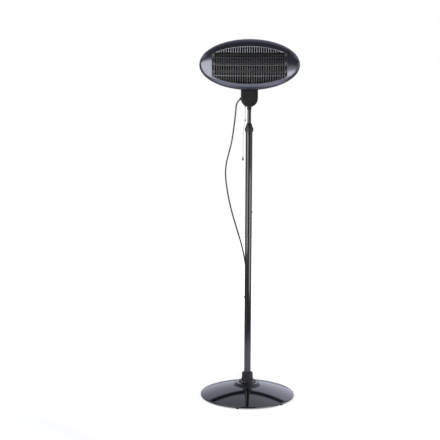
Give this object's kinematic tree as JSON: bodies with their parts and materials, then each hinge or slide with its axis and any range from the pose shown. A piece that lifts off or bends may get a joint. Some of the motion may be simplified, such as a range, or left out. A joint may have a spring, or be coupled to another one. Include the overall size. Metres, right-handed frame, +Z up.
{
  "type": "patio heater",
  "caption": "Free-standing electric patio heater: oval tilting quartz head with wire grille, pull switch, telescopic pole and heavy domed base.",
  "frame": {"origin": "on the floor under the pole, at the centre of the base", "axes": "+Z up along the pole, the heating face looks along -Y, +X to the right as seen from the front"},
  "size_m": [0.514, 0.624, 1.8845],
  "materials": {
    "gloss_black_enamel": "gloss",
    "pole_paint": "semi-gloss",
    "grey_paint": "satin",
    "bracket_paint": "satin",
    "black_plastic": "moulded",
    "neck_plastic": "moulded",
    "white_plastic": "moulded",
    "white_cord": "braided",
    "cable_rubber": "satin",
    "rubber": "matte",
    "concrete": "cast",
    "zinc_steel": "zinc plated",
    "dark_screw": "blackened",
    "grille_steel": "satin",
    "polished_aluminium": "polished",
    "ceramic": "fired",
    "quartz": "milky",
    "heating_wire": "oxidised",
    "plated_brass": "nickel plated",
    "fibre": "pressed fibre"
  },
  "bodies": {
    "stand": {"base_cover": "gloss_black_enamel", "base_tray": "black_plastic", "ballast_disc": "concrete", "rubber_feet": "rubber", "base_washer": "zinc_steel", "base_bolt": "zinc_steel", "pole_foot_plug": "zinc_steel", "pole_socket": "black_plastic", "socket_screws": "zinc_steel", "lower_pole": "pole_paint", "middle_pole": "pole_paint", "upper_pole": "pole_paint", "lower_coupler": "zinc_steel", "upper_coupler": "zinc_steel", "joint_screws": "dark_screw", "collar_bush": "black_plastic", "mains_cable": "cable_rubber", "mains_plug": "black_plastic", "plug_pins": "plated_brass"},
    "collar": {"lock_collar": "black_plastic"},
    "mast": {"inner_tube": "pole_paint", "tube_guide": "black_plastic", "neck_casting": "neck_plastic", "neck_front_cover": "neck_plastic", "neck_rear_cover": "neck_plastic", "neck_cover_screws": "dark_screw", "cable_gland": "cable_rubber", "pull_switch": "white_plastic", "cord_eyelet": "neck_plastic"},
    "pull": {"switch_plunger": "white_plastic", "pull_string_upper": "white_cord", "string_bead": "black_plastic", "pull_string_lower": "white_cord", "pull_knob": "black_plastic"},
    "head": {"front_bezel": "grey_paint", "front_grille": "grille_steel", "rear_shell": "grey_paint", "case_screws": "dark_screw", "reflector": "polished_aluminium", "ceramic_end_caps": "ceramic", "left_element_bracket": "zinc_steel", "right_element_bracket": "zinc_steel", "terminal_block": "ceramic", "tilt_bracket": "bracket_paint", "bracket_screws": "zinc_steel", "friction_washers": "fibre", "tilt_bolt": "zinc_steel", "upper_quartz_tube": "quartz", "middle_quartz_tube": "quartz", "lower_quartz_tube": "quartz", "upper_heating_core": "heating_wire", "middle_heating_core": "heating_wire", "lower_heating_core": "heating_wire"},
    "tilt_knob": {"tilt_knob": "black_plastic"}
  },
  "joints": [
    {"name": "mast_slide", "type": "slide", "parent": "stand", "child": "mast", "axis": [0, 0, 1], "range_m": [-0.055, 0.23], "deforming": ["mains_cable"]},
    {"name": "collar_twist", "type": "hinge", "parent": "stand", "child": "collar", "pos_m": [0, 0, 1.43], "axis": [0, 0, 1], "range_deg": [0, 180]},
    {"name": "head_tilt", "type": "hinge", "parent": "mast", "child": "head", "pos_m": [0, 0, 1.64], "axis": [1, 0, 0], "range_deg": [-7, 23]},
    {"name": "tilt_knob_turn", "type": "hinge", "parent": "head", "child": "tilt_knob", "pos_m": [0.045, 0, 1.64], "axis": [1, 0, 0], "continuous": true},
    {"name": "pull_switch_travel", "type": "slide", "parent": "mast", "child": "pull", "axis": [0, 0, -1], "range_m": [0, 0.022], "stiffness_N_per_m": 250, "springref_m": -0.004}
  ]
}
